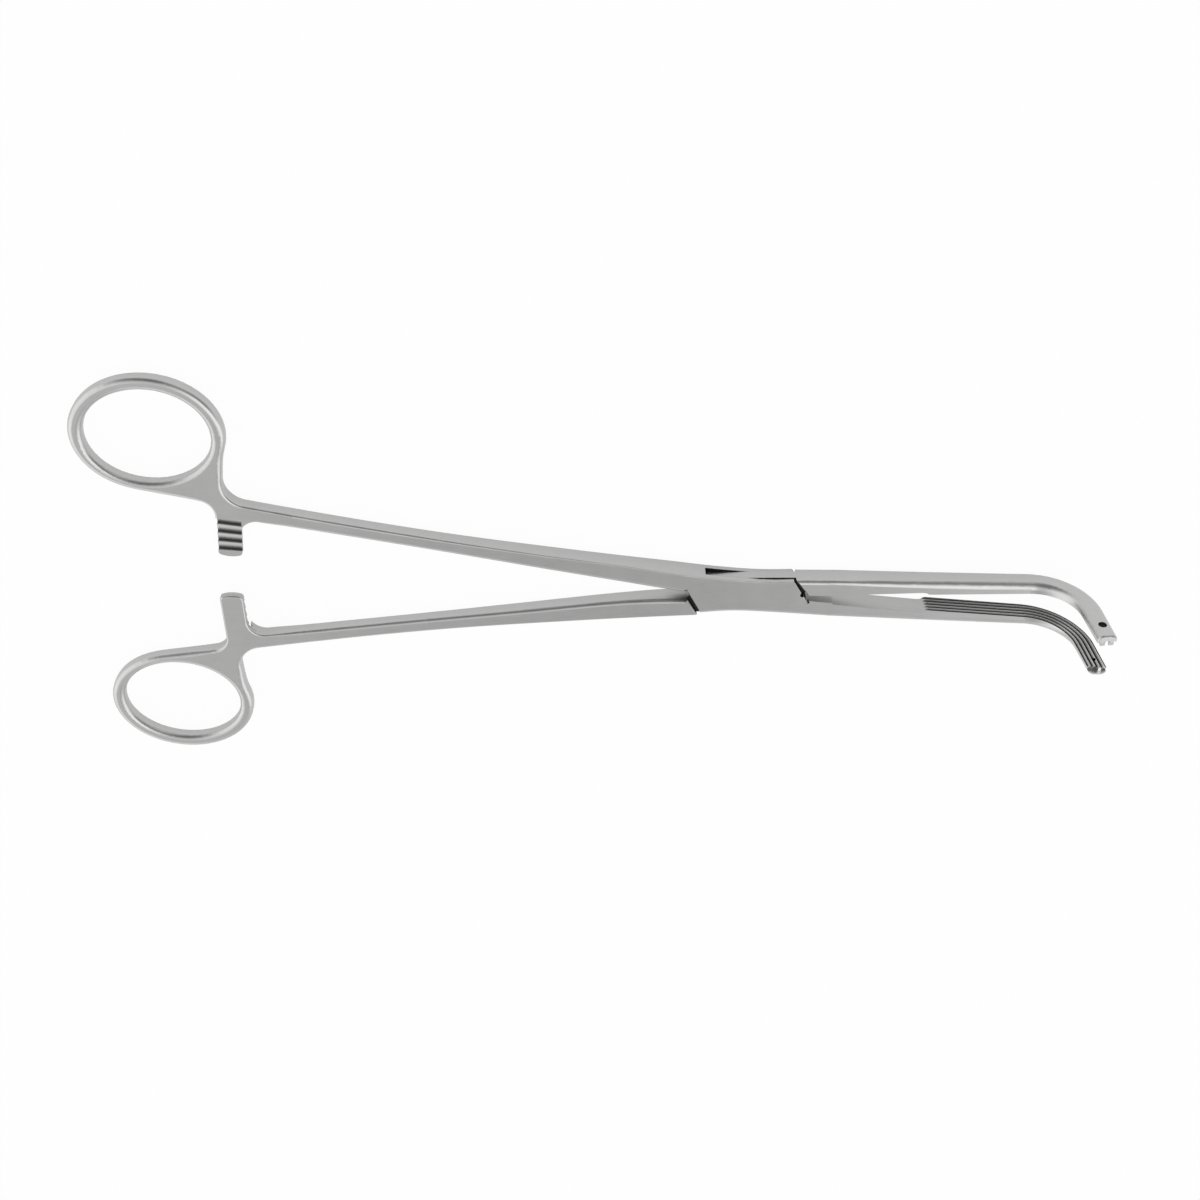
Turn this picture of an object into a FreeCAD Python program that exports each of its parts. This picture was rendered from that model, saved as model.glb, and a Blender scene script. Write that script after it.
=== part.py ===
import FreeCAD, Part
import math
import os
from FreeCAD import Vector

# Thoracic forceps with a box lock, a three-step ratchet and a right-angle serrated jaw.
# Millimetres. X runs along the instrument towards the jaws, Y towards the upper ring, Z up.
# Each half is drawn closed, with the pivot at the origin and the middle plane at z = 0,
# then turned to the rest pose and lifted so that the lock's underside is at z = 0.

REST_OPEN = 5.6          # angle between the halves at rest, degrees

# reach of the whole instrument: the handles, rings and jaws are placed from these three
HANDLE = 116.9           # pivot to the end of the shank
SPREAD = 15.0            # closed centre line to the shank's outer side, at the shank's end
JAW_REACH = 64.4         # pivot to the start of the jaw's bend

# lock
LOCK_HALF = 2.60         # half thickness of the box
SLOT_HALF = 1.25         # half height of the slot in the box
TENON_HALF = 1.21        # half thickness of the tenon that turns in the slot
RIVET_R = 1.30           # radius of the lock rivet
RIVET_PLAY = 0.04        # radial running clearance of the tenon on the rivet

# lock plan, each half drawn with its ring at +Y (the tenon half is turned over afterwards)
BOX_OUTER = [(-10.5, 4.75), (-1.4, 4.50), (3.2, 4.60), (9.0, 5.10), (10.4, 5.26)]
BOX_LIP = (13.9, 0.30)
BOX_BACK = [(20.0, -3.92), (10.9, -3.95), (4.0, -4.05), (-0.5, -4.22), (-5.0, -4.72), (-9.3, -5.50)]
BOX_CROTCH = (-12.9, 0.15)
SHOULDER_HOLE_R = 0.55   # small relief hole on the line of the box's jaw-side shoulder
SHOULDER_HOLE_AT = 0.29  # its place, as a share of the way from the lip to the outer side
TENON_OUTER = [(-14.5, 5.02), (-10.0, 4.85), (-4.0, 4.55), (1.5, 4.25)]
TENON_LIP = (12.7, -0.45)
TENON_BACK = [(20.0, -4.25), (12.6, -4.40), (4.0, -4.48), (-8.6, -4.50)]
TENON_CROTCH = (-12.9, 0.70)
# slot through the box: left wall at the crotch, right wall with the toe that stops the opening
SLOT_PLAN = [(-12.9, 0.15), (-14.4, -1.8), (-14.4, -8.0), (2.0, -8.0), (2.9, -4.1), (13.9, 0.30)]
SLOT_PLAN += [(15.6, 1.2), (15.6, 8.0), (-6.8, 8.0)]
# room for the box's cheeks beside the tenon, up to the two oblique shoulders
CHEEK_PLAN = [(-12.9, 0.70), (-9.0, 8.0), (14.9, 8.0), (14.9, 0.88), (14.2, -0.45), (10.66, -5.5)]
CHEEK_PLAN += [(8.56, -8.5), (-14.0, -8.5), (-14.0, -1.36)]
SHOULDER_BEVEL = 0.22

# shanks: x, inner side, outer side (distances from the closed centre line)
SHANK = [
    (-0.205 * HANDLE, 0.070 * SPREAD, 0.378 * SPREAD),
    (-0.376 * HANDLE, 0.208 * SPREAD, 0.471 * SPREAD),
    (-0.573 * HANDLE, 0.380 * SPREAD, 0.600 * SPREAD),
    (-0.761 * HANDLE, 0.542 * SPREAD, 0.759 * SPREAD),
    (-0.890 * HANDLE, 0.653 * SPREAD, 0.883 * SPREAD),
]
SHANK_END = (-HANDLE, SPREAD - 3.70, SPREAD)
# half thickness in side view: place, share of the way from the ring's to the lock's
SIDE_FLAT = BOX_CROTCH[0] - 1.128        # full thickness from here, just clear of the crotch
SIDE_RISE = [(-0.864 * HANDLE, 0.0), (-0.573 * HANDLE, 0.08), (-0.376 * HANDLE, 0.37)]
SIDE_RISE += [(-0.205 * HANDLE, 0.68), (SIDE_FLAT, 1.0)]

# rounding of the forged edges between the broad faces and the sides
EDGE_BACK = 1.00         # jaw side of the lock
EDGE_LOCK = 0.20         # outer side of the lock
EDGE_OUTER = 0.65        # outer side of the shank
EDGE_INNER = 0.80        # inner side of the shank
EDGE_ARM = 0.45
EDGE_WEB = 0.80
EDGE_RING = 1.15

# ring
RING_PAST = 14.5         # middle of the ring past the shank's end
RING_OUT = 14.85         # and beyond the shank's outer side there
RING_X = -(HANDLE + RING_PAST)
RING_Y = SPREAD + RING_OUT
HOLE_A = 13.45           # half axes of the finger hole
HOLE_B = 11.30
RING_A = 16.45           # half axes of the ring's outside
RING_B = 14.00
RING_SHIFT = 0.35        # the outside sits this much further out, so the web side is slimmer
RING_TILT = 5.7
RING_HALF = 1.70         # half thickness of ring, web and ratchet arm

# web between ring, shank and ratchet arm
WEB_FILLET_SHANK = 5.5
WEB_FILLET_ARM = 3.8
ARM_FILLET = 3.8
WEB_RIGHT_AT = -18.0     # where the web's sides leave the ring, degrees round the ellipse
WEB_LEFT_AT = -107.0
WEB_FOOT = (SHANK_END[0] + 0.6, SHANK_END[2] - 1.45)

# ratchet arms
ARM_W = 5.25
ARM_TOP = 14.1           # the arm is rooted in the web up to here
ARM_END_R = 0.9
ARM_X_BOX = -(HANDLE - 1.7)      # middle of the arm on the box half
ARM_X_TENON = -(HANDLE - 1.1)
ARM_REACH_BOX = 0.45     # how far the arm passes the closed centre line
ARM_REACH_TENON = 0.95
ARM_GAP = 0.05           # half of the gap between the two tooth crest planes
TOOTH_PITCH = 2.26
TOOTH_DEPTH = 0.66
TOOTH_COUNT = 4
TOOTH_FIRST = 7.95       # first root, measured from the closed centre line
RATCHET_STEP = 9.3       # where the arm thins down to the tooth plane
RATCHET_SIDE = 0.40      # the teeth are milled this far past the arm's sides

# jaws
JAW_START = 20.0
JAW_BEND_X = JAW_REACH
JAW_BEND_R = 12.0
JAW_BEND_DEG = 84.0
JAW_TIP_LEN = 9.5
# measured along the jaw's middle line: distance from the pivot, size
HALF_WIDTH = [(20.0, 2.60), (42.0, 2.55), (64.4, 2.45), (78.0, 2.24), (92.0, 2.18)]
BACK_BOX = [(20.0, 3.92), (45.0, 3.42), (64.4, 2.85), (78.0, 2.25), (92.0, 1.85)]
BACK_TENON = [(20.0, 4.25), (45.0, 3.55), (64.4, 3.00), (78.0, 2.35), (92.0, 1.90)]
ROUND_DEEP = [(20.0, EDGE_BACK), (45.0, 1.70), (64.4, 1.80), (92.0, 1.30)]
ROUND_WIDE = [(20.0, EDGE_BACK), (45.0, 1.50), (64.4, 1.70), (92.0, 1.50)]
SERR_STRAIGHT = 22.6     # serrated stretch before the bend
SERR_START = JAW_REACH - SERR_STRAIGHT
SERR_PITCH = 1.05
SERR_DEPTH = 0.42
MATE_GAP = 0.02          # each serration crest stands this far off the middle plane
HEEL = 0.15              # how far the faces are cut back where the jaws leave the lock
RELIEF = 0.80            # and just behind the serrations

# tip
HOLE_R = 0.92            # cross hole through the tenon half's jaw
HOLE_FROM_END = 3.9
DIMPLE_R = 0.5
NOSE_BOX = 1.2           # rounding of the jaw ends
NOSE_TENON = 0.5
TOOTH_H = 0.80           # the two end teeth stand this far out of the mating face
TOOTH_SINGLE_H = 0.42


def rect_prism(x0, x1, y0, y1, z0, z1):
    return Part.makeBox(x1 - x0, y1 - y0, z1 - z0, Vector(x0, y0, z0))


def prism_xy(points, z0, z1):
    """Straight-sided prism standing on a polygon in the plan."""
    pts = [Vector(x, y, z0) for x, y in points]
    wire = Part.makePolygon(pts + [pts[0]])
    return Part.Face(wire).extrude(Vector(0, 0, z1 - z0))


def spline(points, z, start=None):
    """Smooth curve through the points; start is the direction it sets off in, if that matters."""
    curve = Part.BSplineCurve()
    pts = [Vector(x, y, z) for x, y in points]
    if start is None:
        curve.interpolate(pts)
    else:
        curve.interpolate(pts, InitialTangent=start, FinalTangent=(pts[-1] - pts[-2]).normalize())
    return curve.toShape()


def line(a, b, z):
    return Part.makeLine(Vector(a[0], a[1], z), Vector(b[0], b[1], z))


def ring_point(t_deg):
    """A point on the ring's outside and the direction along the rim there."""
    t = math.radians(t_deg)
    turn = FreeCAD.Rotation(Vector(0, 0, 1), RING_TILT)
    place = turn.multVec(Vector(RING_A * math.cos(t), RING_B * math.sin(t), 0))
    along = turn.multVec(Vector(-RING_A * math.sin(t), RING_B * math.cos(t), 0))
    return Vector(RING_X, RING_Y + RING_SHIFT, 0) + place, along.normalize()


def ellipse_prism(half_a, half_b, y_shift):
    """Upright prism on an ellipse turned by the ring's tilt."""
    edge = Part.Ellipse(Vector(0, 0, 0), half_a, half_b).toShape()
    face = Part.Face(Part.Wire([edge]))
    solid = face.extrude(Vector(0, 0, 8.0))
    solid.rotate(Vector(0, 0, 0), Vector(0, 0, 1), RING_TILT)
    solid.translate(Vector(RING_X, RING_Y + y_shift, -4.0))
    return solid


def side_profile(reach):
    """Side view of the blank: thick at the lock, thinner towards the ring, drawn in XZ."""
    r = RING_HALF
    top = [(x, r + share * (LOCK_HALF - r)) for x, share in SIDE_RISE]
    upper = Part.BSplineCurve()
    upper.interpolate([Vector(x, -reach, z) for x, z in top],
                      InitialTangent=Vector(1, 0, 0), FinalTangent=Vector(1, 0, 0))
    lower = Part.BSplineCurve()
    lower.interpolate([Vector(x, -reach, -z) for x, z in top],
                      InitialTangent=Vector(1, 0, 0), FinalTangent=Vector(1, 0, 0))
    x0, x1 = RING_X - 2 * RING_A, JAW_START
    h = LOCK_HALF
    a = Vector(x0, -reach, r)
    b = Vector(top[0][0], -reach, r)
    c = Vector(top[-1][0], -reach, h)
    d = Vector(x1, -reach, h)

    def down(v):
        return Vector(v.x, v.y, -v.z)

    edges = [Part.makeLine(a, b), upper.toShape(), Part.makeLine(c, d), Part.makeLine(d, down(d))]
    edges += [Part.makeLine(down(d), down(c)), lower.toShape(), Part.makeLine(down(b), down(a))]
    edges += [Part.makeLine(down(a), a)]
    wire = Part.Wire(Part.__sortEdges__(edges))
    return Part.Face(wire).extrude(Vector(0, 2 * reach, 0))


def upright_edges_near(shape, spots):
    """Upright straight edges nearest to the given places in the plan."""
    upright = []
    for e in shape.Edges:
        a = e.Vertexes[0].Point
        b = e.Vertexes[-1].Point
        if math.hypot(a.x - b.x, a.y - b.y) < 1e-4 and abs(a.z - b.z) > 0.5:
            upright.append((a, e))
    found = []
    for x, y in spots:
        found.append(min(upright, key=lambda p: math.hypot(p[0].x - x, p[0].y - y))[1])
    return found


def handle_outline(lock_side, crotch, back):
    """Plan of one half without its ring: shank, lock and the first stretch of the jaw.

    lock_side runs from the shank's outer side round to the mating face; back runs from the
    jaw's back to the crotch. The ring side of the half is at +Y.
    """
    z = -4.0
    outer = [(x, o) for x, i, o in reversed(SHANK)]
    outer = [(SHANK_END[0], SHANK_END[2])] + outer
    inner = [crotch] + [(x, i) for x, i, o in SHANK]
    inner = inner + [(SHANK_END[0], SHANK_END[1])]
    outer = outer + lock_side["outer"]
    edges = [spline(outer, z)]
    corner = outer[-1]
    for p in lock_side["corners"]:
        edges.append(line(corner, p, z))
        corner = p
    edges.append(line(corner, back[0], z))
    edges.append(spline(back, z, Vector(-1, 0, 0)))
    corner = back[-1]
    for p in lock_side["crotch"]:
        edges.append(line(corner, p, z))
        corner = p
    edges.append(line(corner, inner[0], z))
    edges.append(spline(inner, z))
    edges.append(line(inner[-1], outer[0], z))
    wire = Part.Wire(Part.__sortEdges__(edges))
    return Part.Face(wire).extrude(Vector(0, 0, 8.0))


def arm_prism(arm_x, reach):
    """Ratchet arm: a bar across the closed centre line with a slightly convex end."""
    z = -4.0
    x0 = arm_x - ARM_W / 2
    x1 = arm_x + ARM_W / 2
    bulge = 0.55
    a = Vector(x0, ARM_TOP + 0.35, z)
    b = Vector(x0, bulge - reach, z)
    m = Vector(arm_x, -reach, z)
    c = Vector(x1, bulge - reach, z)
    d = Vector(x1, ARM_TOP - 0.15, z)
    edges = [Part.makeLine(a, b), Part.Arc(b, m, c).toShape(), Part.makeLine(c, d), Part.makeLine(d, a)]
    return Part.Face(Part.Wire(edges)).extrude(Vector(0, 0, 8.0))


def web_prism():
    """Flat web between ring, shank and arm; its free sides leave the ring along the rim."""
    right, right_dir = ring_point(WEB_RIGHT_AT)
    left, left_dir = ring_point(WEB_LEFT_AT)
    foot_r = Vector(WEB_FOOT[0], WEB_FOOT[1], 0)
    foot_l = Vector(SHANK_END[0], WEB_FOOT[1] + 0.45, 0)
    upper = Vector(WEB_FOOT[0] + 0.15, RING_Y - 9.0, 0)
    lower = Vector(WEB_FOOT[0], SHANK_END[2] + 2.5, 0)
    side = Part.BSplineCurve()
    side.interpolate([right, upper, lower, foot_r],
                     InitialTangent=right_dir * -1.0, FinalTangent=Vector(0, -1, 0))
    under = Part.BSplineCurve()
    under.interpolate([left, Vector(SHANK_END[0] - 7.6, WEB_FOOT[1] + 1.50, 0), foot_l],
                      InitialTangent=left_dir, FinalTangent=Vector(0.985, -0.17, 0))
    core = Vector(RING_X + 6.0, RING_Y - 5.0, 0)
    edges = [side.toShape(), Part.makeLine(foot_r, foot_l), under.toShape()]
    edges += [Part.makeLine(left, core), Part.makeLine(core, right)]
    wire = Part.Wire(Part.__sortEdges__(edges))
    wire.translate(Vector(0, 0, -4.0))
    return Part.Face(wire).extrude(Vector(0, 0, 8.0))


def blank(lock_side, crotch, back, arm_x, reach):
    """The rounded forging of one half, before the slot, ratchet and jaw are cut or added."""
    body = handle_outline(lock_side, crotch, back)
    ring = ellipse_prism(RING_A, RING_B, RING_SHIFT)
    body = body.fuse([ring, web_prism(), arm_prism(arm_x, reach)]).removeSplitter()
    body = body.cut(ellipse_prism(HOLE_A, HOLE_B, 0.0))
    arm_l = arm_x - ARM_W / 2
    arm_r = arm_x + ARM_W / 2
    body = body.makeFillet(WEB_FILLET_SHANK, upright_edges_near(body, [(WEB_FOOT[0], SHANK_END[2])]))
    body = body.makeFillet(WEB_FILLET_ARM, upright_edges_near(body, [(arm_l, SHANK_END[2] - 0.9)]))
    body = body.makeFillet(ARM_FILLET, upright_edges_near(body, [(arm_r, SHANK_END[1] - 0.5)]))
    ends = upright_edges_near(body, [(arm_l, -reach), (arm_r, -reach)])
    body = body.makeFillet(ARM_END_R, ends).removeSplitter()
    body = body.common(side_profile(RING_Y + 2 * RING_B))
    return body


def rim_edges(body, keep_sharp):
    """Edges between the broad faces and the upright sides, apart from those kept sharp."""
    picked = []
    for e in body.Edges:
        faces = body.ancestorsOfType(e, Part.Face)
        if len(faces) != 2:
            continue
        mid = e.valueAt((e.FirstParameter + e.LastParameter) / 2)
        tilt = []
        for f in faces:
            u, v = f.Surface.parameter(mid)
            tilt.append(abs(f.normalAt(u, v).z))
        if min(tilt) > 0.3 or max(tilt) < 0.7:
            continue
        if any(math.hypot(mid.x - x, mid.y - y) < r for x, y, r in keep_sharp):
            continue
        picked.append(e)
    return picked


def rim_radius(mid):
    """Rounding of a rim edge by where its middle lies, and its rank: higher ranks win at joins."""
    if mid.y > RING_Y - 1.5 or mid.x < RING_X - 5.0:
        return EDGE_RING, 3
    if mid.x > 0.17 * -HANDLE and mid.y < -1.0:
        return EDGE_BACK, 3
    if mid.x < 3.0 - HANDLE + ARM_W and mid.y < ARM_TOP - 4.0:
        return EDGE_ARM, 2
    if mid.x < 6.0 - HANDLE:
        return EDGE_WEB, 0
    middle_line = [(-x, (inner + outer) / 2) for x, inner, outer in SHANK]
    if mid.y < at(middle_line, -mid.x):
        return EDGE_INNER, 1
    if mid.x > SHANK[0][0]:
        return EDGE_LOCK, 2
    return EDGE_OUTER, 1


def rounded(body, edges):
    """Rounds the given rim edges, each by its own radius; the radius blends where they differ."""
    sheet = FreeCAD.newDocument("rounding")
    blank_item = sheet.addObject("Part::Feature", "blank")
    blank_item.Shape = body
    rounding = sheet.addObject("Part::Fillet", "rim")
    rounding.Base = blank_item
    rows = []
    for e in edges:
        number = [k for k, other in enumerate(body.Edges, 1) if other.isSame(e)][0]
        radius, rank = rim_radius(e.valueAt((e.FirstParameter + e.LastParameter) / 2))
        rows.append((rank, number, radius))
    rounding.Edges = [(number, radius, radius) for rank, number, radius in sorted(rows)]
    sheet.recompute()
    done = rounding.Shape.copy()
    FreeCAD.closeDocument(sheet.Name)
    return done


def middle(p, q):
    return ((p[0] + q[0]) / 2, (p[1] + q[1]) / 2)


def at(table, s):
    """Value at distance s from a table of (distance, value), straight between its rows."""
    for (s0, v0), (s1, v1) in zip(table, table[1:]):
        if s <= s1:
            return v0 + (v1 - v0) * (s - s0) / (s1 - s0)
    return table[-1][1]


ARC_LEN = JAW_BEND_R * math.radians(JAW_BEND_DEG)
JAW_END = JAW_BEND_X + ARC_LEN + JAW_TIP_LEN
BOX_HEEL = (JAW_START, HEEL)
TENON_HEEL = (JAW_START, -HEEL)


def jaw_place(s):
    """Point on the jaw's middle line, the direction along it and the direction across it."""
    turn = min(max((s - JAW_BEND_X) / JAW_BEND_R, 0.0), math.radians(JAW_BEND_DEG))
    along = Vector(math.cos(turn), 0, math.sin(turn))
    across = Vector(-math.sin(turn), 0, math.cos(turn))
    centre = Vector(JAW_BEND_X, 0, JAW_BEND_R)
    if s <= JAW_BEND_X:
        return Vector(s, 0, 0), along, across
    point = centre - across * JAW_BEND_R
    if s > JAW_BEND_X + ARC_LEN:
        point = point + along * (s - JAW_BEND_X - ARC_LEN)
    return point, along, across


def jaw_point(s, q, y):
    """Place at distance s along the jaw, q across it and y off the middle plane."""
    point, along, across = jaw_place(s)
    return point + across * q + Vector(0, y, 0)


def quarter(a, corner, b):
    curve = Part.BezierCurve()
    curve.setPoles([a, corner, b])
    curve.setWeight(2, math.sqrt(0.5))
    return curve.toShape()


def jaw_section(s, side, back, shrink=0.0):
    """D section: flat towards the other jaw, rounded back; side is the sign of Y at the back."""
    half = at(HALF_WIDTH, s) - shrink
    deep = at(back, s) - shrink
    ry = at(ROUND_DEEP, s) - 0.4 * shrink
    rz = at(ROUND_WIDE, s) - 0.8 * shrink
    over = -0.8

    def p(q, d):
        return jaw_point(s, q, side * d)

    edges = [Part.makeLine(p(-half, over), p(-half, deep - ry))]
    edges.append(quarter(p(-half, deep - ry), p(-half, deep), p(-half + rz, deep)))
    edges.append(Part.makeLine(p(-half + rz, deep), p(half - rz, deep)))
    edges.append(quarter(p(half - rz, deep), p(half, deep), p(half, deep - ry)))
    edges.append(Part.makeLine(p(half, deep - ry), p(half, over)))
    edges.append(Part.makeLine(p(half, over), p(-half, over)))
    return Part.Wire(edges)


def jaw_body(side, back, nose):
    """Jaw from the lock to the tip: straight, bent upwards, straight again, rounded nose."""
    bend_end = JAW_BEND_X + ARC_LEN
    tip_start = JAW_END - nose
    straight = [JAW_START, 31.0, 42.0, 53.0, JAW_BEND_X]
    bend = [JAW_BEND_X + ARC_LEN * k / 8.0 for k in range(9)]
    tip = [bend_end + (tip_start - bend_end) * k / 2.0 for k in range(3)]
    parts = []
    for stops in (straight, bend, tip):
        parts.append(Part.makeLoft([jaw_section(s, side, back) for s in stops], True, False, False, 3))
    wires = []
    for t in (0.0, 0.35, 0.6, 0.8, 0.95):
        shrink = nose * (1.0 - math.sqrt(1.0 - t * t))
        wires.append(jaw_section(tip_start + nose * t / 0.95, side, back, shrink))
    parts.append(Part.makeLoft(wires, True, False, False, 3))
    return parts[0].fuse(parts[1:])


def groove(q, side):
    """One lengthwise V groove in a mating face: straight, round the bend, straight."""
    half = SERR_PITCH * 0.46
    slope = half / SERR_DEPTH
    up = 0.3

    def profile(s):
        a = jaw_point(s, q - half - slope * up, -side * up)
        b = jaw_point(s, q + half + slope * up, -side * up)
        c = jaw_point(s, q, side * SERR_DEPTH)
        return Part.Face(Part.makePolygon([a, b, c, a]))

    first = profile(SERR_START - 2.0).extrude(Vector(JAW_BEND_X - SERR_START + 2.0, 0, 0))
    bend = profile(JAW_BEND_X)
    bend = bend.revolve(Vector(JAW_BEND_X, 0, JAW_BEND_R), Vector(0, -1, 0), JAW_BEND_DEG)
    s1 = JAW_BEND_X + ARC_LEN
    last = profile(s1).extrude(jaw_place(s1 + 1.0)[1] * (JAW_TIP_LEN + 1.0))
    return [first, bend, last]


def tip_block(s0, s1, q0, q1, y0, y1):
    """Box lined up with the jaw's straight tip."""
    corner = jaw_point(s0, q0, 0)
    along = jaw_place(JAW_END)[1]
    across = jaw_place(JAW_END)[2]
    pts = [corner, corner + along * (s1 - s0)]
    pts.append(pts[1] + across * (q1 - q0))
    pts.append(pts[0] + across * (q1 - q0))
    face = Part.Face(Part.makePolygon(pts + [pts[0]]))
    face.translate(Vector(0, min(y0, y1), 0))
    return face.extrude(Vector(0, abs(y1 - y0), 0))


def tip_tooth(height, q0, q1, side):
    """End tooth: steep on the outside, sloping on the inside; height off the mating face."""
    reach = -side * height
    a = jaw_point(JAW_END - 1.15, q0, side * 0.3)
    b = jaw_point(JAW_END - 1.0, q0, 0)
    c = jaw_point(JAW_END - 0.45, q0, reach)
    d = jaw_point(JAW_END - 0.12, q0, reach)
    e = jaw_point(JAW_END, q0, side * 0.3)
    face = Part.Face(Part.makePolygon([a, b, c, d, e, a]))
    return face.extrude(jaw_place(JAW_END)[2] * (q1 - q0))


def serrate(jaw, side, offsets):
    tools = []
    for q in offsets:
        tools += groove(q * SERR_PITCH, side)
    return jaw.cut(tools)


def relieved(jaw, side):
    """Mating face flat at the middle plane, cut back behind the serrations."""
    x0, x1 = JAW_START - 10.0, JAW_REACH + 2 * JAW_BEND_R
    z0, z1 = -2 * LOCK_HALF, 2 * (JAW_BEND_R + JAW_TIP_LEN)
    plane = rect_prism(x0, x1, -MATE_GAP, 4.0, z0, z1)
    if side > 0:
        plane = rect_prism(x0, x1, -4.0, MATE_GAP, z0, z1)
    foot = [(JAW_START - 1.0, HEEL), (JAW_START + 8.0, 0.65 * RELIEF), (SERR_START - 1.6, RELIEF)]
    foot += [(SERR_START - 0.7, RELIEF - 0.15)]
    foot += [(SERR_START - 0.15, 0.14), (SERR_START + 0.3, MATE_GAP * 0.5), (SERR_START + 0.3, -2.0)]
    foot += [(JAW_START - 1.0, -2.0)]
    wedge = prism_xy([(x, v * side) for x, v in foot], -5.0, 5.0)
    return jaw.cut([plane, wedge])


def box_jaw():
    """Lower jaw, on the box half: serrated, single end tooth between two pockets, small dimple."""
    side = -1
    jaw = relieved(jaw_body(side, BACK_BOX, NOSE_BOX), side)
    jaw = serrate(jaw, side, (-2, -1, 0, 1, 2))
    s0 = JAW_END - 1.35
    pockets = [tip_block(s0, JAW_END + 1.0, a, b, 1.0, -TOOTH_H - 0.15) for a, b in ((-3.0, -0.34), (0.34, 3.0))]
    jaw = jaw.fuse(tip_tooth(TOOTH_SINGLE_H, -0.34, 0.34, side)).cut(pockets)
    spot = jaw_point(JAW_END - HOLE_FROM_END, 0.0, 0.0)
    dimple = Part.makeCylinder(DIMPLE_R, 1.6, spot + Vector(0, 0.4, 0), Vector(0, -1, 0))
    return jaw.cut(dimple)


def tenon_jaw():
    """Upper jaw, on the tenon half: serrated half a pitch over, cross hole, two end teeth."""
    side = 1
    jaw = relieved(jaw_body(side, BACK_TENON, NOSE_TENON), side)
    jaw = serrate(jaw, side, (-2.5, -1.5, -0.5, 0.5, 1.5, 2.5))
    jaw = jaw.fuse(tip_tooth(TOOTH_H, -1.5, 1.5, side))
    notch = tip_block(JAW_END - 1.6, JAW_END + 1.0, -0.46, 0.46, -2.0, 0.10)
    along = jaw_place(JAW_END)[1]
    arch = Part.makeCylinder(0.46, 2.6, jaw_point(JAW_END - 1.6, 0.0, 0.10), along)
    spot = jaw_point(JAW_END - HOLE_FROM_END, 0.0, -3.0)
    hole = Part.makeCylinder(HOLE_R, 8.0, spot, Vector(0, 1, 0))
    return jaw.cut([notch, arch, hole])


def ratchet_cut(arm_x, reach):
    """Step and sawtooth gaps of a ratchet that faces +Z on the half with its ring at +Y."""
    x0 = arm_x - ARM_W / 2 - RATCHET_SIDE
    across = Vector(ARM_W + 2 * RATCHET_SIDE, 0, 0)
    z = -ARM_GAP
    top = RING_HALF + 1.0
    step = [Vector(x0, -reach - 2.0, z), Vector(x0, RATCHET_STEP, z)]
    bend = Vector(x0, RATCHET_STEP + 1.0, z + 0.55)
    rise = Vector(x0, RATCHET_STEP + 1.35, RING_HALF)
    edges = [Part.makeLine(step[0], step[1]), Part.Arc(step[1], bend, rise).toShape()]
    out = Vector(x0, RATCHET_STEP + 1.35, top)
    back = Vector(x0, -reach - 2.0, top)
    edges += [Part.makeLine(rise, out), Part.makeLine(out, back), Part.makeLine(back, step[0])]
    tools = [Part.Face(Part.Wire(edges)).extrude(across)]
    for k in range(TOOTH_COUNT):
        root = TOOTH_FIRST - TOOTH_PITCH * k
        a = Vector(x0, 0, z + 0.4)
        b = Vector(x0, 0, z - TOOTH_DEPTH)
        c = Vector(x0, TOOTH_PITCH - 0.2, z)
        d = Vector(x0, TOOTH_PITCH - 0.2, z + 0.4)
        gap = Part.Face(Part.makePolygon([a, b, c, d, a])).extrude(across)
        gap.rotate(Vector(0, 0, 0), Vector(0, 0, 1), -math.degrees(root / -arm_x))
        tools.append(gap)
    return tools


def bevels(p, q, size):
    """Tools that bevel both broad-face edges of an oblique shoulder running from p to q.

    The metal is on the left when walking from p to q.
    """
    run = Vector(q[0] - p[0], q[1] - p[1], 0)
    run.normalize()
    out = Vector(run.y, -run.x, 0)
    start = Vector(p[0], p[1], 0) - run
    end = Vector(q[0], q[1], 0) + run
    e = 0.5
    tools = []
    for way in (1, -1):
        a = start - out * (size + e) + Vector(0, 0, way * (LOCK_HALF + e))
        b = start + out * e + Vector(0, 0, way * (LOCK_HALF - size - e))
        c = start + out * e + Vector(0, 0, way * (LOCK_HALF + e))
        face = Part.Face(Part.makePolygon([a, b, c, a]))
        tools.append(face.extrude(end - start))
    return tools


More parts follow.
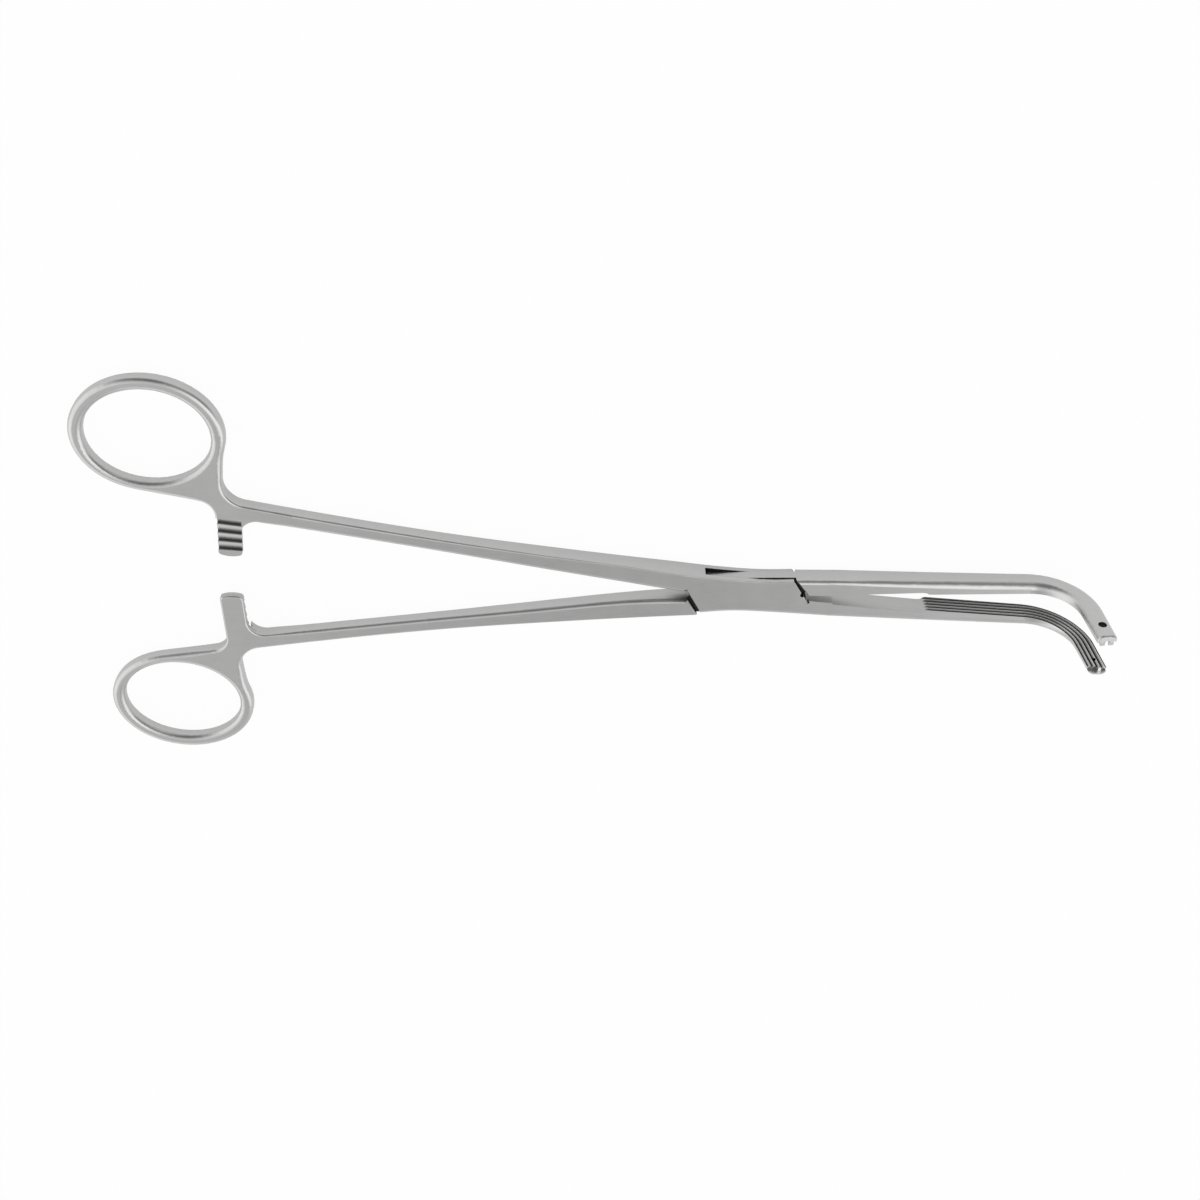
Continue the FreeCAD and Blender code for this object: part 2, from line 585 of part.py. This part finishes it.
def box_half():
    """Half with the slotted box, the upper ring and the lower jaw."""
    side = {"outer": BOX_OUTER, "corners": [BOX_LIP, BOX_HEEL], "crotch": []}
    body = blank(side, BOX_CROTCH, BOX_BACK, ARM_X_BOX, ARM_REACH_BOX)
    sharp = [middle(BOX_CROTCH, BOX_BACK[-1]) + (1.0,), middle(BOX_LIP, BOX_HEEL) + (1.0,)]
    sharp += [middle(BOX_OUTER[-1], BOX_LIP) + (1.0,), middle(BOX_HEEL, BOX_BACK[0]) + (0.5,)]
    body = body.Solids[0]
    body = rounded(body, rim_edges(body, sharp))
    ends = bevels(BOX_CROTCH, BOX_BACK[-1], SHOULDER_BEVEL) + bevels(BOX_LIP, BOX_OUTER[-1], SHOULDER_BEVEL)
    slot = prism_xy(SLOT_PLAN, -SLOT_HALF, SLOT_HALF)
    bore = Part.makeCylinder(RIVET_R, 4 * LOCK_HALF, Vector(0, 0, -2 * LOCK_HALF))
    hole_x = BOX_LIP[0] + SHOULDER_HOLE_AT * (BOX_OUTER[-1][0] - BOX_LIP[0])
    hole_y = BOX_LIP[1] + SHOULDER_HOLE_AT * (BOX_OUTER[-1][1] - BOX_LIP[1])
    relief = Part.makeCylinder(SHOULDER_HOLE_R, 4 * LOCK_HALF, Vector(hole_x, hole_y, -2 * LOCK_HALF))
    body = body.cut([slot, bore, relief] + ends + ratchet_cut(ARM_X_BOX, ARM_REACH_BOX))
    return body.fuse(box_jaw()).removeSplitter()


def tenon_half():
    """Half with the tenon, the lower ring and the upper jaw."""
    side = {"outer": TENON_OUTER, "corners": [TENON_LIP, TENON_HEEL], "crotch": []}
    body = blank(side, TENON_CROTCH, TENON_BACK, ARM_X_TENON, ARM_REACH_TENON)
    sharp = [middle(TENON_CROTCH, TENON_BACK[-1]) + (1.2,), middle(TENON_LIP, TENON_HEEL) + (1.5,)]
    sharp += [middle(TENON_OUTER[-1], TENON_LIP) + (2.5,), middle(TENON_HEEL, TENON_BACK[0]) + (0.5,)]
    body = body.Solids[0]
    body = rounded(body, rim_edges(body, sharp))
    cheeks = [prism_xy(CHEEK_PLAN, TENON_HALF, 6.0), prism_xy(CHEEK_PLAN, -6.0, -TENON_HALF)]
    body = body.cut(cheeks)
    body = body.cut(bevels(CHEEK_PLAN[0], CHEEK_PLAN[1], SHOULDER_BEVEL))
    body = body.cut(bevels(CHEEK_PLAN[4], CHEEK_PLAN[5], SHOULDER_BEVEL))
    bore = Part.makeCylinder(RIVET_R + RIVET_PLAY, 4 * LOCK_HALF, Vector(0, 0, -2 * LOCK_HALF))
    body = body.cut([bore] + ratchet_cut(ARM_X_TENON, ARM_REACH_TENON))
    body.rotate(Vector(0, 0, 0), Vector(1, 0, 0), 180.0)
    return body.fuse(tenon_jaw()).removeSplitter()


def lock_rivet():
    return Part.makeCylinder(RIVET_R, 2 * LOCK_HALF, Vector(0, 0, -LOCK_HALF))


def place(shape, turn_deg):
    """From the closed drawing to the rest pose."""
    done = shape.copy()
    done.rotate(Vector(0, 0, 0), Vector(0, 0, 1), turn_deg)
    done.translate(Vector(0, 0, LOCK_HALF))
    return done


def save(name, shape):
    solid = shape
    if shape.ShapeType != "Solid":
        if len(shape.Solids) != 1:
            sizes = [(round(b.Volume, 2), b.BoundBox.Center) for b in shape.Solids]
            raise ValueError(name + " is not one solid: " + str(sizes))
        solid = shape.Solids[0]
    if not solid.isValid():
        raise ValueError(name + " is not valid")
    solid.exportStep("parts/" + name + ".step")
    box = solid.BoundBox
    print(name, len(solid.Faces), "faces", round(solid.Volume, 1), "mm3",
          [round(v, 2) for v in (box.XMin, box.XMax, box.YMin, box.YMax, box.ZMin, box.ZMax)])


os.makedirs("parts", exist_ok=True)
save("box_half", place(box_half(), -REST_OPEN / 2))
save("tenon_half", place(tenon_half(), REST_OPEN / 2))
save("lock_rivet", place(lock_rivet(), -REST_OPEN / 2))
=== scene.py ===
import math

import bpy
from mathutils import Matrix, Vector

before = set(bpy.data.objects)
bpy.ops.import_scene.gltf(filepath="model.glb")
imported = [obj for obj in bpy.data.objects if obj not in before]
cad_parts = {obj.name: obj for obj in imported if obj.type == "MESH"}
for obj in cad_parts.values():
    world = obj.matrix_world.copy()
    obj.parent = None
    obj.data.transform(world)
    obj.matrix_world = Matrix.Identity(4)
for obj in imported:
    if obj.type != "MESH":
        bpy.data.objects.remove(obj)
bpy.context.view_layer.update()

# Half with the slotted box, the upper ring and the lower jaw. One stainless forging, ground along
# its length, then bead blasted and lightly brushed to a satin finish. The bottoms of the serrations,
# the ratchet, the lock, the slot and the small holes are darkened with painted shade.


class Wire:
    """A shader socket. Arithmetic on it adds Math nodes, and node adds any other kind."""

    def __init__(self, tree, socket=None):
        self.tree = tree
        self.socket = socket

    def node(self, kind, settings, *inputs, out=0, **named):
        """Adds a node: its settings first, then its inputs in order or by name; gives one output."""
        made = self.tree.nodes.new(kind)
        for name, value in settings.items():
            setattr(made, name, value)
        pairs = list(zip(made.inputs, inputs))
        pairs += [(made.inputs[name.replace("_", " ")], value) for name, value in named.items()]
        for socket, value in pairs:
            if isinstance(value, Wire):
                self.tree.links.new(value.socket, socket)
            else:
                socket.default_value = value
        return Wire(self.tree, made.outputs[out]) if len(made.outputs) else None

    def math(self, operation, *values):
        """One Math node on the values."""
        return self.node("ShaderNodeMath", {"operation": operation}, *values)

    def __add__(self, other):
        return self.math("ADD", self, other)

    def __radd__(self, other):
        return self.math("ADD", other, self)

    def __sub__(self, other):
        return self.math("SUBTRACT", self, other)

    def __rsub__(self, other):
        return self.math("SUBTRACT", other, self)

    def __mul__(self, other):
        return self.math("MULTIPLY", self, other)

    def __rmul__(self, other):
        return self.math("MULTIPLY", other, self)

    def __abs__(self):
        return self.math("ABSOLUTE", self)


def above(value, low, high):
    """0 below low, 1 above high; between, thrice the squared share of the way less twice its cube."""
    return value.node("ShaderNodeMapRange", {"interpolation_type": "SMOOTHSTEP"}, value, low, high)


def below(value, low, high):
    """1 below low, 0 above high: one less what above gives."""
    return 1.0 - above(value, low, high)


def darkest(shades):
    """The largest of several shades, point by point."""
    most = shades[0]
    for shade in shades[1:]:
        most = most.math("MAXIMUM", most, shade)
    return most


def from_axis(across, up, centre):
    """Distance from an axis: the root of the two squared distances from its centre, added up."""
    across = across - centre[0]
    up = up - centre[1]
    squares = across * across + up * up
    return squares.math("SQRT", squares)


def noise(place, scale, detail, roughness):
    """Fractal noise that varies about 0: the texture's value less a half."""
    kind = "ShaderNodeTexNoise"
    return place.node(kind, {}, place, Scale=scale, Detail=detail, Roughness=roughness) - 0.5


LOCK_MIDDLE = 2.6        # mm, height of the lock's middle plane
MM_PER_M = 1000.0


class Spot:
    """A surface point of a half, turned back to where it lies when the jaws are closed.

    x, y and z are in millimetres, z from the lock's middle plane; facing is the way the surface
    looks there, and closed is the same point in metres, from the floor.
    """

    def __init__(self, wire, turn):
        """turn is how far the half stands open at rest, in radians."""
        back = (0.0, 0.0, -turn)
        place = wire.node("ShaderNodeTexCoord", {}, out="Object")
        self.closed = wire.node("ShaderNodeMapping", {}, place, Rotation=back)
        self.x, self.y, height = (part * MM_PER_M for part in self.parts(self.closed))
        self.z = height - LOCK_MIDDLE
        normal = wire.node("ShaderNodeTexCoord", {}, out="Normal")
        self.facing = self.parts(wire.node("ShaderNodeMapping", {}, normal, Rotation=back))

    def parts(self, vector):
        """The three parts of a vector, in order."""
        return [vector.node("ShaderNodeSeparateXYZ", {}, vector, out=axis) for axis in "XYZ"]

    def faces(self, way):
        """How squarely the surface faces a way in the plan: the dot product of the two."""
        return self.facing[0] * way[0] + self.facing[1] * way[1]

    def left_of(self, start, end):
        """Distance to the left of the line from start to end, in the plan."""
        run_x = end[0] - start[0]
        run_y = end[1] - start[1]
        length = math.hypot(run_x, run_y)
        return (self.y - start[1]) * (run_x / length) - (self.x - start[0]) * (run_y / length)


# Each pair of numbers below says where a painted shade starts to change and where it is done.
# Places and depths are in millimetres; a facing is the part of the surface's direction that looks that
# way.

SERRATED_FROM = (41.5, 42.5)       # from the rivet towards the bend
SERRATED_TO = (18.6, 18.9)         # height on the bent tip, below the end teeth
GROOVE_DEPTH = (0.07, 0.34)        # behind the plane where the jaws meet
GROOVE_FACING = (0.30, 0.60)


def groove_painted_shade(spot, side):
    """Painted shade in the serrations of the jaw that lies on one side of Y, 1 or -1, when closed.

    The product of three: the depth behind the meeting plane, the facing towards the other jaw,
    and the serrated stretch.
    """
    stretch = above(spot.x, *SERRATED_FROM) * below(spot.z, *SERRATED_TO)
    deep = above(spot.y * side, *GROOVE_DEPTH)
    return deep * above(spot.facing[1] * -side, *GROOVE_FACING) * stretch


RATCHET_X = (-111.0, -110.5)       # the toothed arm lies behind this place
RATCHET_Y = (9.6, 9.9)             # and its teeth no farther from the middle than this
FLANK_DEPTH = (0.10, 0.55)         # behind the middle plane of the lock
FLANK_SHADE = 0.30
ROOT_DEPTH = (0.50, 0.70)
ROOT_SHADE = 0.50
TOOTH_FACING = (-0.1, 0.2)


def ratchet_painted_shade(spot, way):
    """Painted shade on ratchet teeth that look up, way 1, or down, way -1.

    One share of the shade comes along the flanks and one at the roots, added up, on the toothed
    stretch of the arm and on faces that look that way.
    """
    depth = spot.z * -way
    deep = above(depth, *FLANK_DEPTH) * FLANK_SHADE + above(depth, *ROOT_DEPTH) * ROOT_SHADE
    stretch = below(spot.x, *RATCHET_X) * below(abs(spot.y), *RATCHET_Y)
    return deep * stretch * above(spot.facing[2] * way, *TOOTH_FACING)


LEVEL_FACING = (0.5, 0.8)
INNER_FACES = (1.35, 1.45)         # level faces nearer the middle plane than this are inside
SHOULDER_FACING = (0.80, 0.92)
SHOULDER_BEVEL = (2.33, 2.40)      # height off the middle plane where the bevels begin
LOCK_REACH = (16.0, 17.0)


def lock_painted_shade(spot, shoulders):
    """Painted shade on level faces inside the lock, and on its upright shoulders up to their bevels.

    shoulders holds the way that each shoulder faces, in the plan. The larger of the two shades
    counts, within the lock's reach.
    """
    level = above(abs(spot.facing[2]), *LEVEL_FACING) * below(abs(spot.z), *INNER_FACES)
    upright = darkest([above(spot.faces(way), *SHOULDER_FACING) for way in shoulders])
    upright = upright * below(abs(spot.z), *SHOULDER_BEVEL)
    return darkest([level, upright]) * below(abs(spot.x), *LOCK_REACH)


BRUSH_STRETCH = (260.0, 5200.0, 5200.0)     # how often the brushing varies along and across
BRUSH_DETAIL = (1.0, 3.0, 0.55)             # scale, detail and roughness of each noise
CLOUD_DETAIL = (130.0, 4.0, 0.6)
FLECK_DETAIL = (2600.0, 2.0, 0.5)
STEEL_TONE = 0.56
BRUSH_TONE = 0.05                           # how much each noise changes the tone
CLOUD_TONE = 0.05
FLECK_TONE = 0.03
CUT_TONE = 0.93                             # share of the tone that a full painted shade takes away
RED_GREEN_BLUE = (1.0, 0.998, 0.992)        # share of the tone in each colour
STEEL_ROUGH = 0.30
BRUSH_ROUGH = 0.10                          # how much the noises and a full painted shade roughen it
CLOUD_ROUGH = 0.08
CUT_ROUGH = 0.25
FLECK_HEIGHT = 0.6                          # beside the brushing's height of 1
BUMP_STRENGTH = 0.10
BUMP_DISTANCE = 0.00004                     # m


def satin_steel(name, turn, shade_in, grain=1.0):
    """Satin steel: noise drawn out along the half for the brushing, faint clouds and a fine fleck.

    turn is how far the half stands open at rest, shade_in gives the painted shade of the cuts at a
    spot (for the rivet, the dark line of its joint) and grain is the strength of the brushing. The tone
    is the steel's plus small shares of the three noises, times one less the shade; the roughness is the
    steel's plus shares of clouds, brushing and shade.
    """
    made = bpy.data.materials.new(name)
    made.use_nodes = True
    made.node_tree.nodes.clear()
    start = Wire(made.node_tree)
    spot = Spot(start, turn)
    drawn = start.node("ShaderNodeMapping", {}, spot.closed, Scale=BRUSH_STRETCH)
    brushing = noise(drawn, *BRUSH_DETAIL) * grain
    cloud = noise(spot.closed, *CLOUD_DETAIL)
    fleck = noise(spot.closed, *FLECK_DETAIL)
    # Painted shade of the cuts; on the rivet, the dark line of its joint.
    dark = shade_in(spot)
    tone = STEEL_TONE + cloud * CLOUD_TONE + brushing * BRUSH_TONE + fleck * FLECK_TONE
    tone = tone * (1.0 - dark * CUT_TONE)
    colour = start.node("ShaderNodeCombineColor", {}, *[tone * share for share in RED_GREEN_BLUE])
    rough = STEEL_ROUGH + cloud * CLOUD_ROUGH + brushing * BRUSH_ROUGH + dark * CUT_ROUGH
    height = brushing + fleck * FLECK_HEIGHT
    bump = start.node(
        "ShaderNodeBump", {}, Strength=BUMP_STRENGTH, Distance=BUMP_DISTANCE, Height=height,
    )
    shader = start.node(
        "ShaderNodeBsdfPrincipled", {}, Base_Color=colour, Metallic=1.0, Roughness=rough, Normal=bump,
    )
    start.node("ShaderNodeOutputMaterial", {}, shader)
    return made


REST_OPEN = math.radians(5.6)                       # between the halves, at rest
SHOULDER_WAYS_BOX = [(-0.843, -0.537), (0.817, 0.577)]
SLOT_LEFT = ((-12.9, 0.15), (-6.8, 8.0))            # upright ends of the slot, in the plan
SLOT_RIGHT = ((2.9, -4.1), (13.9, 0.30))
SLOT_END_LEFT = (0.03, 0.08)                        # to the left of the left end, still in the slot
SLOT_END_RIGHT = (-0.08, -0.03)
SLOT_HEIGHT = (1.25, 1.30)                          # off the middle plane
SLOT_REACH = (15.5, 16.0)
SHOULDER_HOLE = (12.89, 1.74)
SHOULDER_HOLE_RADIUS = (0.55, 0.59)
TIP_HOLE = (76.92, 16.32)                           # x and height of the dimple and the cross hole
DIMPLE_RADIUS = (0.50, 0.54)


def box_painted_shade(spot):
    """Painted shade in the box half's cuts: the largest of serrations, ratchet, lock, slot, hole and
    dimple.
    """
    # Painted shade inside the slot, between its two upright ends and up to the cheeks.
    slot = below(spot.left_of(*SLOT_LEFT), *SLOT_END_LEFT)
    slot = slot * above(spot.left_of(*SLOT_RIGHT), *SLOT_END_RIGHT)
    slot = slot * below(abs(spot.z), *SLOT_HEIGHT) * below(abs(spot.x), *SLOT_REACH)
    return darkest([
        groove_painted_shade(spot, -1.0),
        ratchet_painted_shade(spot, 1.0),
        lock_painted_shade(spot, SHOULDER_WAYS_BOX),
        slot,
        below(from_axis(spot.x, spot.y, SHOULDER_HOLE), *SHOULDER_HOLE_RADIUS),
        below(from_axis(spot.x, spot.z, TIP_HOLE), *DIMPLE_RADIUS),
    ])


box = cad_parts["box_half"]
box.data.materials.clear()
box.data.materials.append(satin_steel("satin_steel_box", -REST_OPEN / 2, box_painted_shade))

# Half with the tenon, the lower ring and the upper jaw, which has the cross hole. It is the same
# steel, ground, blasted and brushed along its own length, and its cuts, cross hole and crotch get
# painted shade.

SHOULDER_WAYS_TENON = [(0.882, 0.471), (-0.819, -0.574)]
CROSS_HOLE_RADIUS = (0.92, 0.97)
CROTCH = (-12.9, -0.70)            # where the shank meets the lock, in the plan
CROTCH_REACH = (0.0, 5.5)
CROTCH_FACING = (0.15, 0.60)
CROTCH_HEIGHT = (-0.8, 2.0)        # above the middle plane
CROTCH_LEAST = 0.1                 # its painted shade at the bottom, and how much more it has at the top
CROTCH_MORE = 0.7


def tenon_painted_shade(spot):
    """Painted shade in the tenon half's cuts: the largest of serrations, ratchet, lock, cross hole and
    crotch.

    The crotch's painted shade is the product of its nearness, the facing towards the other half, and a
    height term that grows from its least to its most.
    """
    # Painted shade in the crotch, where the shank runs under the box's cheek.
    crotch = below(from_axis(spot.x, spot.y, CROTCH), *CROTCH_REACH)
    crotch = crotch * above(spot.facing[1], *CROTCH_FACING)
    crotch = crotch * (above(spot.z, *CROTCH_HEIGHT) * CROTCH_MORE + CROTCH_LEAST)
    return darkest([
        groove_painted_shade(spot, 1.0),
        ratchet_painted_shade(spot, -1.0),
        lock_painted_shade(spot, SHOULDER_WAYS_TENON),
        below(from_axis(spot.x, spot.z, TIP_HOLE), *CROSS_HOLE_RADIUS),
        crotch,
    ])


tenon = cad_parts["tenon_half"]
tenon.data.materials.clear()
tenon.data.materials.append(satin_steel("satin_steel_tenon", REST_OPEN / 2, tenon_painted_shade))

# Lock rivet: a plain steel pin, riveted flush with both cheeks of the box and ground over, so
# only a faint ring shows where it ends. It is less brushed than the halves.

RIVET_RIM = (1.22, 1.30)
RIVET_RIM_SHADE = 0.12
RIVET_GRAIN = 0.6


def rivet_shade(spot):
    """A faint grey line where the rivet meets the cheek: a share of a shade that starts near its rim."""
    return above(from_axis(spot.x, spot.y, (0.0, 0.0)), *RIVET_RIM) * RIVET_RIM_SHADE


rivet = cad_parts["lock_rivet"]
rivet.data.materials.clear()
rivet.data.materials.append(satin_steel("rivet_steel", 0.0, rivet_shade, RIVET_GRAIN))

# Floor: a plain white sheet that runs on past the picture. Part of it is plain white light, so
# that it stays as even as a studio sheet, and the matt part takes a faint contact shadow.

FLOOR_SIZE = 4.0
FLOOR_DROP = 0.0001
FLOOR_GREY = 0.92
FLOOR_LIT = {"Is Camera Ray": 0.96, "Is Glossy Ray": 0.56, "Is Transmission Ray": 0.96}
bpy.ops.mesh.primitive_plane_add(size=FLOOR_SIZE, location=(0.0, 0.0, -FLOOR_DROP))
floor = bpy.context.object
floor.name = "floor"
floor_paint = bpy.data.materials.new("floor_paint")
floor_paint.use_nodes = True
floor_paint.node_tree.nodes.clear()
start = Wire(floor_paint.node_tree)
matt = start.node("ShaderNodeBsdfDiffuse", {}, (FLOOR_GREY, FLOOR_GREY, FLOOR_GREY, 1.0))
white = start.node("ShaderNodeEmission", {}, (1.0, 1.0, 1.0, 1.0))
share = 0.0
for ray, part in FLOOR_LIT.items():
    share = share + part * start.node("ShaderNodeLightPath", {}, out=ray)
start.node("ShaderNodeOutputMaterial", {}, start.node("ShaderNodeMixShader", {}, share, matt, white))
floor.data.materials.append(floor_paint)

# Light tent: white cloth all round. Where it is brighter or darker is given as patches, each with
# how much it adds, a way to its middle, and the dot products at its edge and at its full part.

CLOTH = 0.78
CLOTH_LEAST = 0.08
PATCHES = [
    (0.50, (-0.88, 0.10, 0.46), 0.60, 0.95),       # window beyond the rings
    (0.40, (-0.62, -0.77, 0.15), 0.75, 0.95),      # low on the far left
    (0.90, (0.43, -0.05, 0.90), 0.90, 0.975),      # soft lamp over the jaws
    (0.25, (0.52, -0.50, 0.69), 0.92, 0.98),       # its reflector on the far side
    (0.60, (0.80, -0.42, 0.43), 0.90, 0.97),       # low on the far right
    (-0.08, (0.00, -0.60, 0.80), 0.80, 0.96),      # greyer cloth on the far side
    (-0.25, (0.07, -0.59, 0.80), 0.955, 0.995),    # a darker spot in it
    (-0.58, (-0.24, 0.77, 0.59), 0.73, 0.95),      # open side, where the camera looks in
    (-0.50, (0.72, 0.42, 0.55), 0.84, 0.96),       # gap between the lamp and the open side
]

world = bpy.data.worlds.new("tent")
bpy.context.scene.world = world
world.use_nodes = True
world.node_tree.nodes.clear()
start = Wire(world.node_tree)
direction = start.node("ShaderNodeTexCoord", {}, out="Generated")
glow = CLOTH
for amount, way, edge, full in PATCHES:
    aim = start.node("ShaderNodeVectorMath", {"operation": "DOT_PRODUCT"}, direction, way, out="Value")
    glow = glow + amount * above(aim, edge, full)
glow = glow.math("MAXIMUM", glow, CLOTH_LEAST)
cloth = start.node("ShaderNodeCombineColor", {}, glow, glow, glow)
start.node("ShaderNodeOutputWorld", {}, start.node("ShaderNodeBackground", {}, cloth))

# Camera: on the upper ring's side, tipped 37 degrees from straight down and looking back at the
# tool, so that the bent tips point down the picture.

CAMERA_TIP = math.radians(36.94)
CAMERA_YAW = math.radians(-1.90)
CAMERA_ROLL = math.radians(1.72)
CAMERA_DISTANCE = 0.3773
CAMERA_TARGET = Vector((-0.03246, -0.00386, 0.0026))
camera_data = bpy.data.cameras.new("camera")
camera_data.sensor_width = 36.0
camera_data.lens = 49.8
camera_data.clip_start = 0.01
camera = bpy.data.objects.new("camera", camera_data)
turn = Matrix.Rotation(-CAMERA_TIP, 4, "X") @ Matrix.Rotation(CAMERA_YAW, 4, "Y")
turn = turn @ Matrix.Rotation(CAMERA_ROLL, 4, "Z")
back_off = turn.to_3x3() @ Vector((0.0, 0.0, CAMERA_DISTANCE))
camera.matrix_world = Matrix.Translation(CAMERA_TARGET + back_off) @ turn
bpy.context.scene.collection.objects.link(camera)
bpy.context.scene.camera = camera
bpy.context.scene.view_settings.view_transform = "Standard"
